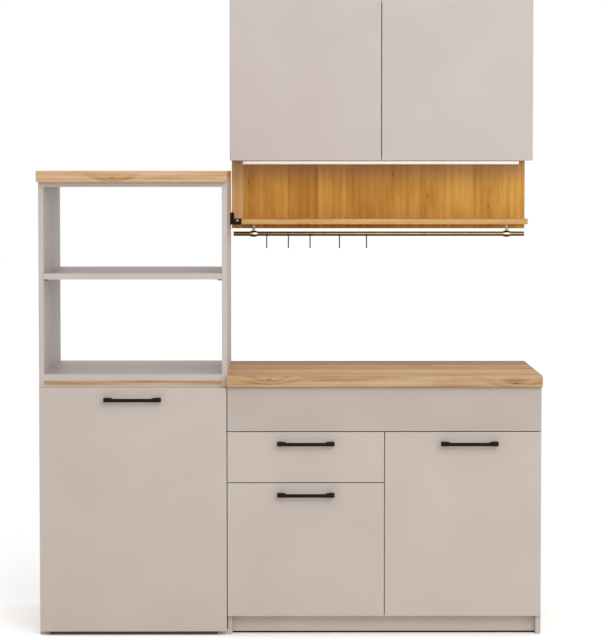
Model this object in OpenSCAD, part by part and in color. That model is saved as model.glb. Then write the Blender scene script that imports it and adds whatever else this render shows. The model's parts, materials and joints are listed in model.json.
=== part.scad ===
// Kitchenette unit: a tall cabinet with an open upper part, a base cabinet with a worktop,
// and a wall cabinet over a panel with a ledge, a light channel and a hook rail.
// Millimetres. +Z is up, the fronts face -Y, the wall is at the +Y end.
// The origin is on the floor, in the middle of the whole set.

/* [Worktop] */
// Width of the worktop
worktop_w = 1000; // [800:10:1200]
// Depth of the worktop, front edge to wall
worktop_d = 600; // [560:5:650]
// Thickness of the worktop and of the tall cabinet's top board
worktop_t = 35; // [22:1:40]
// Height of the worktop's upper face above the floor
worktop_h = 830; // [800:1:900]
// How far the worktop stands out past the door faces
worktop_lip = 20; // [5:1:40]

/* [Boards] */
// Thickness of the cabinet sides, floors and dividers
board_t = 16; // [15:1:19]
// Thickness of the shelves
shelf_t = 19; // [16:1:22]
// Thickness of the doors and the drawer front
door_t = 18; // [16:1:22]
// Thickness of the hardboard backs
back_t = 3; // [2:0.5:5]
// Chamfer along the front edges of doors and boards
edge_ease = 1; // [0.5:0.25:2]

/* [Gaps] */
// Gap between neighbouring doors and fronts
door_gap = 3; // [2:0.5:5]
// Gap between a closed door and the cabinet behind it
bumper_gap = 2; // [1.5:0.5:4]
// How far the tall cabinet's top board stands out past its left side
top_overhang = 3; // [0:0.5:6]
// How far the wall cabinet and the panel stand in from the worktop's ends
wall_reveal = 3; // [0:0.5:6]
// How far a door stands in from the outer face of its cabinet side
door_edge = 1.5; // [0:0.5:3]
// Gap between the fixed front and the worktop
fascia_gap = 2; // [0.5:0.5:5]
// Play of a loose shelf at each end
shelf_play = 0.5; // [0.2:0.1:1]

/* [Tall cabinet] */
// Width of the tall cabinet
tall_w = 597; // [400:1:700]
// Height of the tall cabinet, with its top board
tall_h = 1478; // [1300:1:1500]
// Height of the open part's floor, upper face
open_floor_h = 832; // [780:1:900]
// Height of the open part's middle shelf, upper face
open_shelf_h = 1153; // [1000:1:1250]
// Height of the rail that shows between the trim board and the tall door
trim_rail_show = 7; // [3:1:12]
// Free height under the tall door
tall_door_lift = 13; // [8:1:30]
// Width of each foot block beside the cabinet side
foot_w = 15; // [10:1:30]
// Length of each foot block
foot_l = 70; // [40:1:120]
// Height of the shelf behind the tall door, upper face
tall_shelf_h = 420; // [250:1:600]

/* [Base cabinet] */
// Depth of the base cabinet's box
base_d = 520; // [480:5:540]
// Height of the doors' lower edges above the floor
base_leg = 62; // [50:1:110]
// Setback of the plinth behind the cabinet's front
plinth_setback = 30; // [10:1:60]
// Height of the fixed front panel under the worktop
fascia_h = 140; // [80:1:180]
// Height of the drawer front
drawer_h = 160; // [120:1:200]
// Depth of the cross rails under the worktop
rail_board_d = 80; // [60:1:120]
// Height of the base cabinet's shelves, upper face
base_shelf_h = 300; // [200:1:400]
// Setback of loose shelves behind the cabinet's front
shelf_setback = 30; // [10:1:60]

/* [Wall cabinet] */
// Height of the wall cabinet's underside above the floor
wall_low = 1512; // [1490:1:1600]
// Height of the wall cabinet
wall_h = 524; // [400:1:720]
// Depth of the wall cabinet, with its doors
wall_d = 300; // [260:5:360]
// Height of the wall cabinet's shelf above its underside, upper face
wall_shelf_rise = 270; // [150:1:380]
// Space behind the wall cabinet's back for the hanging rail
hang_space = 14; // [12:1:20]

/* [Panel and ledge] */
// Height of the panel under the wall cabinet
panel_h = 229; // [150:1:300]
// Thickness of the ledge
ledge_t = 18; // [15:1:25]
// Height of the ledge's upper face above the panel's lower edge
ledge_rise = 34; // [20:1:60]
// Depth of the ledge in front of the panel
ledge_d = 110; // [80:1:160]

/* [Light] */
// Distance of the light's ends from the wall cabinet's outer faces
light_inset = 42; // [20:1:200]
// Width of the light's opal cover
light_w = 17; // [14:0.5:25]
// Height of the light's opal cover
light_h = 12; // [10:0.5:16]
// Width of the aluminium channel inside the cover
channel_w = 11; // [8:0.5:12]
// Height of the aluminium channel
channel_h = 6; // [4:0.5:8]
// Wall of the aluminium channel
light_wall = 1.2; // [1:0.1:2]
// Setback of the light behind the wall doors
light_setback = 30; // [10:1:120]

/* [Hook rail] */
// Outer diameter of the rail tube
rail_od = 15; // [10:0.5:20]
// Wall of the rail tube
rail_wall = 1.2; // [1:0.1:2]
// Distance of the rail's ends from the worktop's ends
rail_end_gap = 10; // [3:1:60]
// Height of the rail's axis below the panel's lower edge
rail_drop = 17; // [12:1:40]
// Distance of the rail's axis in front of the panel
rail_out = 55; // [40:1:70]
// Distance of the left rail holder from the rail's end
left_holder_inset = 68; // [40:1:200]
// Distance of the right rail holder from the rail's end
right_holder_inset = 59; // [40:1:200]
// Diameter of the holder's stem
stem_d = 10; // [6:0.5:14]
// Width of the holder's ring
ring_w = 24; // [14:1:30]
// Wall of the holder's ring at its middle
ring_t = 3; // [2:0.5:4]
// Wire diameter of a hook
wire_d = 4; // [3:0.5:5]
// Height of a hook, top to bottom
hook_h = 70; // [50:1:90]
// Inner radius of the hook's lower bend
hook_bend_r = 7; // [5:0.5:10]
// Play between the hook and the rail
hook_play = 0.3; // [0.2:0.1:1]

/* [Handles] */
// Length of a handle
handle_l = 182; // [120:1:240]
// Height of a handle's bar
handle_h = 11; // [7:0.5:14]
// Height of a handle's feet
handle_foot_h = 14; // [10:0.5:18]
// Length of a handle's feet at the bar
handle_foot_l = 26; // [18:1:36]
// Thickness of a handle's bar
handle_t = 8; // [6:0.5:12]
// How far a handle stands out from its door
handle_out = 32; // [26:1:40]
// Distance of a handle's middle below its door's upper edge
handle_drop = 42; // [25:1:80]
// Chamfer at a handle's corners
handle_ease = 2; // [1:0.5:4]
// Sideways offset of the right door's handle
right_handle_shift = 19; // [-60:1:60]

/* [Hinges] */
// Diameter of a hinge cup
cup_d = 35; // [26:1:35]
// Depth of a hinge cup
cup_depth = 11.5; // [10:0.5:13]
// Distance of a hinge cup's middle from the door's edge
cup_inset = 22; // [20:0.5:24]
// Distance of a hinge from the door's upper or lower edge
hinge_inset = 90; // [70:1:130]
// Length of a hinge arm behind the cabinet's front
arm_l = 62; // [50:1:80]

/* [Drawer] */
// Depth of the drawer box
drawer_d = 450; // [350:10:470]
// Height of the drawer's sides
drawer_side_h = 96; // [70:1:110]
// Height of the drawer box above the front's lower edge
drawer_lift = 30; // [20:1:50]
// Thickness of the drawer's sides
drawer_side_t = 12; // [10:1:16]
// Gap between the drawer's side and the cabinet, for the runner
runner_gap = 12.5; // [12:0.5:14]
// Height of the runner's channel
runner_h = 20; // [16:1:24]
// Sheet thickness of the runners
runner_t = 1.2; // [1:0.1:1.6]

/* [Joining bracket] */
// Height of the upright plate on the tall cabinet's side
bracket_h = 42; // [30:1:60]
// Width of the upright plate
bracket_w = 14; // [10:1:20]
// Reach of the arm in front of the ledge
bracket_reach = 38; // [28:1:60]
// Thickness of the bracket, front to back
bracket_t = 10; // [6:1:16]

/* [Hidden] */
$fn = 48;

// --- colours
grey_beige = [0.78, 0.73, 0.69];
oak = [0.80, 0.63, 0.45];
oak_vertical = [0.76, 0.56, 0.34];
white_board = [0.93, 0.93, 0.91];
dark_metal = [0.20, 0.17, 0.16];
steel = [0.72, 0.73, 0.74];
runner_white = [0.90, 0.90, 0.88];
bronze = [0.36, 0.29, 0.20];
light_white = [1.0, 0.97, 0.90];
foot_grey = [0.66, 0.62, 0.58];

// --- overall frame
total_w = top_overhang + tall_w + worktop_w;
total_d = worktop_d + handle_out - worktop_lip;
wall_y = total_d / 2;
worktop_y = wall_y - worktop_d;
door_y = worktop_y + worktop_lip;
box_y = door_y + door_t + bumper_gap;
joint_x = total_w / 2 - worktop_w;

// --- tall cabinet
tall_x = joint_x - tall_w;
tall_in_x = tall_x + board_t;
tall_in_w = tall_w - 2 * board_t;
tall_d = wall_y - back_t - box_y;
tall_side_h = tall_h - worktop_t;
trim_z = open_floor_h - shelf_t - board_t;
tall_door_x = tall_x + door_edge;
tall_door_w = tall_w - 2 * door_edge;
tall_door_h = trim_z - trim_rail_show - tall_door_lift;

// --- base cabinet
base_x = joint_x;
base_w = worktop_w;
base_h = worktop_h - worktop_t;
base_in_x = base_x + board_t;
base_mid = base_x + base_w / 2;
bay_w = base_w / 2 - 1.5 * board_t;
left_bay_x = base_in_x;
right_bay_x = base_mid + board_t / 2;
fascia_z = base_h - fascia_gap - fascia_h;
drawer_z = fascia_z - door_gap - drawer_h;
left_door_h = drawer_z - door_gap - base_leg;
right_door_h = fascia_z - door_gap - base_leg;
half_door_w = base_w / 2 - door_edge - door_gap / 2;
left_door_x = base_x + door_edge;
right_door_x = base_mid + door_gap / 2;
base_back_y = box_y + base_d;

// Discs that hold the fixed front off the cabinet, one at each upright board
spacer_d = 10;

// --- wall cabinet
wall_x = joint_x + wall_reveal;
wall_w = worktop_w - 2 * wall_reveal;
wall_mid = wall_x + wall_w / 2;
half_wall_door_w = wall_w / 2 - door_edge - door_gap / 2;
wall_left_door_x = wall_x + door_edge;
wall_right_door_x = wall_mid + door_gap / 2;
wall_door_y = wall_y - wall_d;
wall_box_y = wall_door_y + door_t + bumper_gap;
wall_in_x = wall_x + board_t;
wall_in_w = wall_w - 2 * board_t;
wall_back_y = wall_y - hang_space - back_t;
wall_in_d = wall_back_y - wall_box_y;
wall_hi = wall_low + wall_h;

// --- panel, ledge, rail
panel_z = wall_low - panel_h;
panel_y = wall_y - board_t;
ledge_z = panel_z + ledge_rise - ledge_t;
ledge_y = panel_y - ledge_d;
rail_r = rail_od / 2;
rail_cap = 4;
ring_fit = 0.05;
ring_lip = 1;
ring_flat = 4;
stem_foot_d = stem_d + 5;
stem_foot_t = 2;
rail_y = panel_y - rail_out;
rail_z = panel_z - rail_drop;
rail_l = worktop_w - 2 * rail_end_gap;
rail_x = joint_x + rail_end_gap;
holder_xs = [rail_x + left_holder_inset, rail_x + rail_l - right_holder_inset];
// Where the hooks hang along the rail, from its left holder
hook_places = [44, 117, 190, 289, 380];
hook_xs = [for (at = hook_places) holder_xs[0] + at];
crook_r = rail_r + hook_play + wire_d / 2;
crook_tail = 4;
bend_tip = 6;
light_l = wall_w - 2 * light_inset;
light_x = wall_x + light_inset;
light_y = wall_box_y + light_setback;
cover_round = 5;
channel_fit = 0.1;

// --- hinges: [edge x, inward direction, door back y, cabinet front y, side face x, heights]
function hinge_heights(z, h) = [z + hinge_inset, z + h - hinge_inset];
tall_hinge = [tall_door_x, 1, door_y + door_t, box_y, tall_in_x,
              hinge_heights(tall_door_lift, tall_door_h)];
left_hinge = [left_door_x, 1, door_y + door_t, box_y, base_in_x,
              hinge_heights(base_leg, left_door_h)];
right_hinge = [right_door_x + half_door_w, -1, door_y + door_t, box_y, base_x + base_w - board_t,
               hinge_heights(base_leg, right_door_h)];
wall_left_hinge = [wall_left_door_x, 1, wall_door_y + door_t, wall_box_y, wall_in_x,
                   hinge_heights(wall_low, wall_h)];
wall_right_hinge = [wall_right_door_x + half_wall_door_w, -1, wall_door_y + door_t, wall_box_y,
                    wall_x + wall_w - board_t, hinge_heights(wall_low, wall_h)];
cup_fit = 0.1;
cup_wall = 1;
flange_t = 1.2;
cup_rim = 5;
wing_w = 13;
wing_l = 62;
wing_hole_d = 5.5;
arm_w = 18;
arm_rise = 11;
arm_step = 3;
arm_t = 1.5;
nose_play = 0.3;
plate_y = 22;
plate_l = 32;
plate_wing_h = 45;
plate_t = 2;
pad_t = 8;
arm_slot_w = 5;
arm_slot_l = 12;

// --- drawer and runners
drawer_box_x = left_bay_x + runner_gap;
drawer_box_w = bay_w - 2 * runner_gap;
drawer_box_z = drawer_z + drawer_lift;
drawer_bottom_t = 3;
glue_gap = 0.1;
runner_play = 0.3;
runner_z = drawer_box_z + 4;
runner_reach = runner_gap - 1.5;
runner_short = 10;
runner_l = drawer_d - runner_short;
roller_pin_d = 4;
roller_x = 3;
roller_space = 4;
roller_r = (runner_h - 2 * runner_t) / 2 - runner_play;
roller_w = 7;
front_roller_r = (runner_h - runner_t - runner_play) / 2;

pin_d = 5;
pin_l = 14;
pin_inset = 35;
pin_hole_fit = 0.1;

// --- joining bracket
bracket_edge = 1;
slot_l = 12;

// ================= shared shapes =================

// A plain board from its low corner
module board(x, y, z, w, d, h) {
    translate([x, y, z]) cube([w, d, h]);
}

// A door or front: a board whose four front edges are eased
module eased_front(x, y, z, w, h) {
    translate([x, y, z]) difference() {
        cube([w, door_t, h]);
        edge_cut(w);
        translate([0, 0, h]) mirror([0, 0, 1]) edge_cut(w);
        rotate([0, -90, 0]) mirror([0, 0, 1]) edge_cut(h);
        translate([w, 0, 0]) rotate([0, -90, 0]) edge_cut(h);
    }
}

// The wedge cut away along one front edge, along +X from the corner
module edge_cut(l) {
    rotate([90, 0, 90]) translate([0, 0, -1]) linear_extrude(l + 2)
        polygon([[-1, edge_ease + 1], [-1, -1], [edge_ease + 1, -1]]);
}

// A board with its upper and lower front edges eased, as on the worktop
module eased_top(x, y, z, w, d, h) {
    translate([x, y, z]) difference() {
        cube([w, d, h]);
        edge_cut(w);
        translate([0, 0, h]) mirror([0, 0, 1]) edge_cut(w);
    }
}

// A handle centred on x, with its lower edge at z, on a door face at y
module handle_bar(x, y, z) {
    slope = handle_foot_h - handle_h;
    translate([x - handle_l / 2, y, z]) intersection() {
        rotate([90, 0, 0]) linear_extrude(handle_out)
            polygon([
                [0, 0], [handle_l, 0], [handle_l, handle_foot_h],
                [handle_l - handle_foot_l, handle_foot_h],
                [handle_l - handle_foot_l - slope, handle_h],
                [handle_foot_l + slope, handle_h],
                [handle_foot_l, handle_foot_h], [0, handle_foot_h]
            ]);
        linear_extrude(handle_foot_h) handle_plan();
    }
}

// The handle seen from above: two tapered feet and the bar between them
module handle_plan() {
    foot_end = handle_foot_l / 2;
    inner = handle_out - handle_t;
    polygon([
        [handle_ease, 0], [foot_end, 0], [handle_foot_l, -inner],
        [handle_l - handle_foot_l, -inner], [handle_l - foot_end, 0], [handle_l - handle_ease, 0],
        [handle_l, -inner / 2], [handle_l, -handle_out + handle_ease],
        [handle_l - handle_ease, -handle_out], [handle_ease, -handle_out],
        [0, -handle_out + handle_ease], [0, -inner / 2]
    ]);
}

// The blind holes for a door's hinge cups
module cup_holes(h) {
    for (z = h[5])
        translate([h[0] + h[1] * cup_inset, h[2] - cup_depth - cup_fit, z]) rotate([-90, 0, 0])
            cylinder(d = cup_d, h = cup_depth + cup_fit + 1);
}

// A bar shape of width w and length l along Y, with round ends
module round_bar(w, l) {
    square([w, l - w], center = true);
    for (y = [w - l, l - w]) translate([0, y / 2]) circle(d = w);
}

// A wing shape of width w and length l along Y, with a screw hole in each round end
module screw_wings(w, l, hole) {
    difference() {
        round_bar(w, l);
        for (y = [w - l, l - w]) translate([0, y / 2]) circle(d = hole);
    }
}

// The pressed steel cups of one door, each with its winged flange on the door's back
module hinge_cups(h) {
    for (z = h[5]) translate([h[0] + h[1] * cup_inset, h[2], z]) rotate([90, 0, 0]) difference() {
        union() {
            cylinder(d = cup_d - 2 * cup_fit, h = cup_depth);
            translate([0, 0, -flange_t]) linear_extrude(flange_t) {
                circle(d = cup_d + cup_rim);
                screw_wings(wing_w, wing_l, wing_hole_d);
            }
        }
        translate([0, 0, -flange_t - 1])
            cylinder(d = cup_d - 2 * cup_fit - 2 * cup_wall, h = cup_depth + flange_t + 1 - cup_wall);
    }
}

// The arm and mounting plate of one hinge, on the cabinet side's inner face
module hinge_arm(h) {
    nose = h[3] - h[2] - flange_t - nose_play;
    for (z = h[5]) translate([h[4], h[3], z]) to_side(h[1]) {
        hinge_plate();
        difference() {
            translate([0, 0, -arm_w / 2]) linear_extrude(arm_w) arm_profile(nose, 0);
            translate([0, 0, -arm_w / 2 + arm_t]) linear_extrude(arm_w - 2 * arm_t)
                arm_profile(nose + 1, arm_t);
            translate([arm_rise, plate_y + plate_l / 2, 0]) rotate([0, 90, 0])
                linear_extrude(2 * arm_step) round_bar(arm_slot_w, arm_slot_l);
            translate([arm_rise - 2 * arm_t, plate_y - 2 * pad_t, 0]) rotate([0, 90, 0])
                cylinder(d = arm_slot_w, h = 3 * arm_t);
        }
    }
}

// The arm seen from above: its front part lies low over the cup and its rear steps up on the plate.
// With an inset t it is the hollow under the arm's web, open below and at both ends.
module arm_profile(nose, t) {
    low = t > 0 ? -1 : 1;
    end = t > 0 ? arm_l + 1 : arm_l;
    polygon([
        [low, -nose], [arm_rise - t, -nose], [arm_rise - t, plate_y - pad_t],
        [arm_rise + arm_step - t, plate_y], [arm_rise + arm_step - t, end],
        [t > 0 ? low : pad_t, end], [t > 0 ? low : pad_t, plate_y], [low, pad_t]
    ]);
}

// The plate: a pad that carries the arm, on a base with two screw wings
module hinge_plate() {
    translate([0, plate_y + plate_l / 2, 0]) rotate([90, 0, 90]) linear_extrude(plate_t) {
        screw_wings(wing_w, plate_wing_h, wing_hole_d);
        square([plate_l, arm_w], center = true);
    }
    translate([0, plate_y + plate_l / 4, -arm_w / 2]) cube([pad_t, plate_l / 2, arm_w]);
}

// Mirrors across X for hinges on the right-hand side
module to_side(side) {
    if (side < 0) mirror([1, 0, 0]) children();
    else children();
}

// Where the pins under one shelf stand: two in each side of a cabinet of depth d
function pin_rows(y, d) = [y + shelf_setback + pin_inset, y + d - pin_inset];

// The pins under one shelf of thickness shelf_t, half in the side boards and half under the shelf
module pins_under(x, w, y, d, shelf_h) {
    for (at = pin_rows(y, d), end = [x - pin_l / 2, x + w - pin_l / 2])
        translate([end, at, shelf_h - shelf_t - pin_d / 2]) rotate([0, 90, 0])
            cylinder(d = pin_d, h = pin_l);
}

// The blind holes for those pins, in a board whose face is at x
module pin_holes(x, y, d, shelf_h) {
    hole_l = pin_l / 2 + pin_hole_fit;
    for (at = pin_rows(y, d))
        translate([x - hole_l, at, shelf_h - shelf_t - pin_d / 2]) rotate([0, 90, 0])
            cylinder(d = pin_d + 2 * pin_hole_fit, h = 2 * hole_l);
}

// ================= tall cabinet =================

module tall_left_side() {
    color(grey_beige) difference() {
        board(tall_x, box_y, 0, board_t, tall_d, tall_side_h);
        for (h = [tall_shelf_h, open_shelf_h]) pin_holes(tall_in_x, box_y, tall_d, h);
    }
}

module tall_right_side() {
    color(grey_beige) difference() {
        board(joint_x - board_t, box_y, 0, board_t, tall_d, tall_side_h);
        for (h = [tall_shelf_h, open_shelf_h]) pin_holes(joint_x - board_t, box_y, tall_d, h);
    }
}

module tall_top_board() {
    color(oak) eased_top(tall_x - top_overhang, worktop_y, tall_side_h,
                         tall_w + top_overhang, worktop_d, worktop_t);
}

module tall_top_panel() {
    color(grey_beige) board(tall_in_x, box_y, tall_side_h - board_t, tall_in_w, tall_d, board_t);
}

module tall_open_shelf() {
    color(grey_beige) board(tall_in_x + shelf_play, box_y, open_shelf_h - shelf_t,
                            tall_in_w - 2 * shelf_play, tall_d, shelf_t);
}

// The floor of the open part, and the rail under the trim board that the door closes against
module tall_open_floor() {
    color(grey_beige) {
        board(tall_in_x, box_y, open_floor_h - shelf_t, tall_in_w, tall_d, shelf_t);
        board(tall_in_x, box_y, trim_z - board_t, tall_in_w, rail_board_d, board_t);
    }
}

module tall_trim_board() {
    color(oak) board(tall_in_x, box_y, trim_z, tall_in_w, tall_d, board_t);
}

module tall_bottom() {
    color(grey_beige) board(tall_in_x, box_y, tall_door_lift, tall_in_w, tall_d, board_t);
}

module tall_inner_shelf() {
    color(grey_beige) board(tall_in_x + shelf_play, box_y + shelf_setback, tall_shelf_h - shelf_t,
                            tall_in_w - 2 * shelf_play, tall_d - shelf_setback, shelf_t);
}

module tall_feet() {
    color(foot_grey) for (x = [tall_in_x, tall_in_x + tall_in_w - foot_w])
        for (y = [box_y, box_y + tall_d - foot_l])
            board(x, y, 0, foot_w, foot_l, tall_door_lift);
}

module tall_door() {
    color(grey_beige) difference() {
        eased_front(tall_door_x, door_y, tall_door_lift, tall_door_w, tall_door_h);
        cup_holes(tall_hinge);
    }
}

module tall_handle() {
    color(dark_metal) handle_bar(tall_door_x + tall_door_w / 2, door_y,
                                 tall_door_lift + tall_door_h - handle_drop);
}

module tall_hinge_cups() {
    color(steel) hinge_cups(tall_hinge);
}

// ================= base cabinet =================

module worktop() {
    color(oak) eased_top(joint_x, worktop_y, base_h, worktop_w, worktop_d, worktop_t);
}

module base_left_side() {
    color(grey_beige) difference() {
        board(base_x, box_y, 0, board_t, base_d, base_h);
        pin_holes(left_bay_x, box_y, base_d, base_shelf_h);
    }
}

module base_right_side() {
    color(grey_beige) difference() {
        board(base_x + base_w - board_t, box_y, 0, board_t, base_d, base_h);
        pin_holes(right_bay_x + bay_w, box_y, base_d, base_shelf_h);
    }
}

module base_divider() {
    color(grey_beige) difference() {
        board(base_mid - board_t / 2, box_y, base_leg + board_t, board_t, base_d,
              base_h - base_leg - board_t);
        for (x = [left_bay_x + bay_w, right_bay_x]) pin_holes(x, box_y, base_d, base_shelf_h);
    }
}

module base_bottom() {
    color(grey_beige) board(base_in_x, box_y, base_leg, base_w - 2 * board_t, base_d, board_t);
}

module base_rails() {
    color(grey_beige) for (x = [left_bay_x, right_bay_x])
        for (y = [box_y, base_back_y - rail_board_d])
            board(x, y, base_h - board_t, bay_w, rail_board_d, board_t);
}

// The fixed front under the worktop, screwed to the front cross rails and the sides
module base_fascia() {
    color(grey_beige) {
        eased_front(left_door_x, door_y, fascia_z, base_w - 2 * door_edge, fascia_h);
        for (x = [base_x + board_t / 2, base_mid, base_x + base_w - board_t / 2])
            translate([x, door_y + door_t, fascia_z + fascia_h / 2]) rotate([-90, 0, 0])
                cylinder(d = spacer_d, h = bumper_gap);
    }
}

module base_plinth() {
    color(grey_beige) board(base_in_x, box_y + plinth_setback, 0, base_w - 2 * board_t, board_t,
                            base_leg);
}

module base_shelves() {
    color(grey_beige) for (x = [left_bay_x, right_bay_x])
        board(x + shelf_play, box_y + shelf_setback, base_shelf_h - shelf_t,
              bay_w - 2 * shelf_play, base_d - shelf_setback, shelf_t);
}

module left_door() {
    color(grey_beige) difference() {
        eased_front(left_door_x, door_y, base_leg, half_door_w, left_door_h);
        cup_holes(left_hinge);
    }
}

module left_handle() {
    color(dark_metal) handle_bar(left_door_x + half_door_w / 2, door_y,
                                 base_leg + left_door_h - handle_drop);
}

module left_hinge_cups() {
    color(steel) hinge_cups(left_hinge);
}

module right_door() {
    color(grey_beige) difference() {
        eased_front(right_door_x, door_y, base_leg, half_door_w, right_door_h);
        cup_holes(right_hinge);
    }
}

module right_handle() {
    color(dark_metal) handle_bar(right_door_x + half_door_w / 2 + right_handle_shift, door_y,
                                 base_leg + right_door_h - handle_drop);
}

module right_hinge_cups() {
    color(steel) hinge_cups(right_hinge);
}

// ================= drawer =================

module drawer_front() {
    color(grey_beige) eased_front(left_door_x, door_y, drawer_z, half_door_w, drawer_h);
}

// Two sides and a back, held by the front
module drawer_box() {
    color(white_board) {
        for (x = [drawer_box_x, drawer_box_x + drawer_box_w - drawer_side_t])
            board(x, door_y + door_t, drawer_box_z, drawer_side_t, drawer_d, drawer_side_h);
        board(drawer_box_x + drawer_side_t + glue_gap, door_y + door_t + drawer_d - drawer_side_t,
              drawer_box_z, drawer_box_w - 2 * drawer_side_t - 2 * glue_gap, drawer_side_t,
              drawer_side_h);
    }
}

module drawer_bottom() {
    color(white_board) board(drawer_box_x, door_y + door_t, drawer_box_z - drawer_bottom_t,
                             drawer_box_w, drawer_d, drawer_bottom_t);
}

module drawer_handle() {
    color(dark_metal) handle_bar(left_door_x + half_door_w / 2, door_y,
                                 drawer_z + drawer_h - handle_drop);
}

// One fixed channel: web on the cabinet side, two flanges, and a roller at its open front
module fixed_runner() {
    roller_end = 2 * (front_roller_r + roller_space);
    cube([runner_t, runner_l, runner_h]);
    cube([runner_reach, runner_l, runner_t]);
    translate([0, roller_end, runner_h - runner_t])
        cube([runner_reach, runner_l - roller_end, runner_t]);
    translate([0, front_roller_r + roller_space, runner_h - front_roller_r]) rotate([0, 90, 0]) {
        cylinder(d = roller_pin_d, h = roller_x);
        translate([0, 0, roller_x]) cylinder(r = front_roller_r, h = roller_w);
    }
}

// One moving angle: web on the drawer side, flange over the channel, and a roller at its rear
module moving_runner() {
    web_x = runner_gap - runner_t;
    top_z = runner_h + runner_play;
    roller_y = runner_l - roller_r - roller_space;
    translate([web_x, 0, 0]) cube([runner_t, runner_l, top_z]);
    translate([runner_gap - runner_reach, 0, top_z]) cube([runner_reach, runner_l, runner_t]);
    translate([roller_x, roller_y, runner_t + runner_play + roller_r]) rotate([0, 90, 0]) {
        cylinder(r = roller_r, h = roller_w);
        cylinder(d = roller_pin_d, h = web_x - roller_x);
    }
}

module cabinet_runners() {
    color(runner_white) translate([0, box_y, runner_z]) {
        translate([left_bay_x, 0, 0]) fixed_runner();
        translate([left_bay_x + bay_w, 0, 0]) mirror([1, 0, 0]) fixed_runner();
    }
}

module drawer_runners() {
    color(runner_white) translate([0, box_y, runner_z]) {
        translate([left_bay_x, 0, 0]) moving_runner();
        translate([left_bay_x + bay_w, 0, 0]) mirror([1, 0, 0]) moving_runner();
    }
}

// ================= wall cabinet =================

module wall_left_side() {
    color(grey_beige) difference() {
        board(wall_x, wall_box_y, wall_low, board_t, wall_y - wall_box_y, wall_h);
        pin_holes(wall_in_x, wall_box_y, wall_in_d, wall_low + wall_shelf_rise);
    }
}

module wall_right_side() {
    color(grey_beige) difference() {
        board(wall_x + wall_w - board_t, wall_box_y, wall_low, board_t, wall_y - wall_box_y, wall_h);
        pin_holes(wall_in_x + wall_in_w, wall_box_y, wall_in_d, wall_low + wall_shelf_rise);
    }
}

module wall_top() {
    color(grey_beige) board(wall_in_x, wall_box_y, wall_hi - board_t, wall_in_w, wall_in_d, board_t);
}

module wall_bottom() {
    color(grey_beige) board(wall_in_x, wall_box_y, wall_low, wall_in_w, wall_y - wall_box_y,
                            board_t);
}

module wall_shelf() {
    color(grey_beige) board(wall_in_x + shelf_play, wall_box_y + shelf_setback,
                            wall_low + wall_shelf_rise - shelf_t,
                            wall_in_w - 2 * shelf_play, wall_in_d - shelf_setback, shelf_t);
}

module wall_left_door() {
    color(grey_beige) difference() {
        eased_front(wall_left_door_x, wall_door_y, wall_low, half_wall_door_w, wall_h);
        cup_holes(wall_left_hinge);
    }
}

module wall_left_hinge_cups() {
    color(steel) hinge_cups(wall_left_hinge);
}

module wall_right_door() {
    color(grey_beige) difference() {
        eased_front(wall_right_door_x, wall_door_y, wall_low, half_wall_door_w, wall_h);
        cup_holes(wall_right_hinge);
    }
}

module wall_right_hinge_cups() {
    color(steel) hinge_cups(wall_right_hinge);
}

// --- hanging rail and hangers
hang_drop = 60;
hang_z = wall_hi - hang_drop;
hanger_w = 18;
hanger_h = 56;
hanger_d = 40;
tongue_x = 4;
tongue_w = 10;
tongue_t = 3;
tongue_play = 2;
rail_strip_t = 2;
rail_strip_h = 30;
rail_lip = 8;
strip_play = 2;
screw_hole_r = 3.5;
screw_inset = 60;

// Adjustable hangers in the upper back corners, each with a tongue that rests on the rail
module wall_hangers() {
    color(white_board) for (side = [0, 1])
        translate([side == 0 ? wall_in_x : wall_in_x + wall_in_w, wall_back_y, hang_z])
            to_side(side == 0 ? 1 : -1) {
                translate([0, -hanger_d, -hanger_h / 2]) cube([hanger_w, hanger_d, hanger_h]);
                translate([tongue_x, -1, 0])
                    cube([tongue_w, 1 + back_t + hang_space - rail_strip_t, tongue_t]);
            }
}

// The steel rail screwed to the wall, with a lip that carries the tongues
module wall_rail() {
    color(steel) difference() {
        union() {
            board(wall_in_x + strip_play, wall_y - rail_strip_t, hang_z - rail_strip_h,
                  wall_in_w - 2 * strip_play, rail_strip_t, rail_strip_h + tongue_t);
            board(wall_in_x + strip_play, wall_y - rail_lip, hang_z - rail_strip_t,
                  wall_in_w - 2 * strip_play, rail_lip, rail_strip_t);
        }
        for (x = [wall_in_x + screw_inset, wall_in_x + wall_in_w - screw_inset])
            translate([x, wall_y - rail_lip, hang_z - rail_strip_h / 2]) rotate([-90, 0, 0])
                cylinder(r = screw_hole_r, h = 2 * rail_lip);
    }
}

// ================= backs, arms and pins =================

// The hardboard backs of the tall, base and wall cabinets
module back_boards() {
    color(white_board) {
        board(tall_x + door_edge, wall_y - back_t, tall_door_lift, tall_w - 2 * door_edge, back_t,
              open_floor_h - tall_door_lift);
        board(base_x + door_edge, base_back_y, base_leg, base_w - 2 * door_edge, back_t,
              base_h - base_leg);
        difference() {
            board(wall_in_x, wall_back_y, wall_low + board_t, wall_in_w, back_t, wall_h - board_t);
            for (x = [wall_in_x + tongue_x, wall_in_x + wall_in_w - tongue_x - tongue_w])
                board(x - tongue_play, wall_back_y - back_t, hang_z - tongue_play,
                      tongue_w + 2 * tongue_play, 3 * back_t, tongue_t + 2 * tongue_play);
        }
    }
}

module hinge_arms() {
    color(steel) for (h = [tall_hinge, left_hinge, right_hinge, wall_left_hinge, wall_right_hinge])
        hinge_arm(h);
}

module shelf_pins() {
    color(steel) {
        for (h = [tall_shelf_h, open_shelf_h]) pins_under(tall_in_x, tall_in_w, box_y, tall_d, h);
        for (x = [left_bay_x, right_bay_x]) pins_under(x, bay_w, box_y, base_d, base_shelf_h);
        pins_under(wall_in_x, wall_in_w, wall_box_y, wall_in_d, wall_low + wall_shelf_rise);
    }
}

// ================= panel, ledge, light and rail =================

module panel_board() {
    color(oak_vertical) board(wall_x, panel_y, panel_z, wall_w, board_t, panel_h);
}

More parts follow.
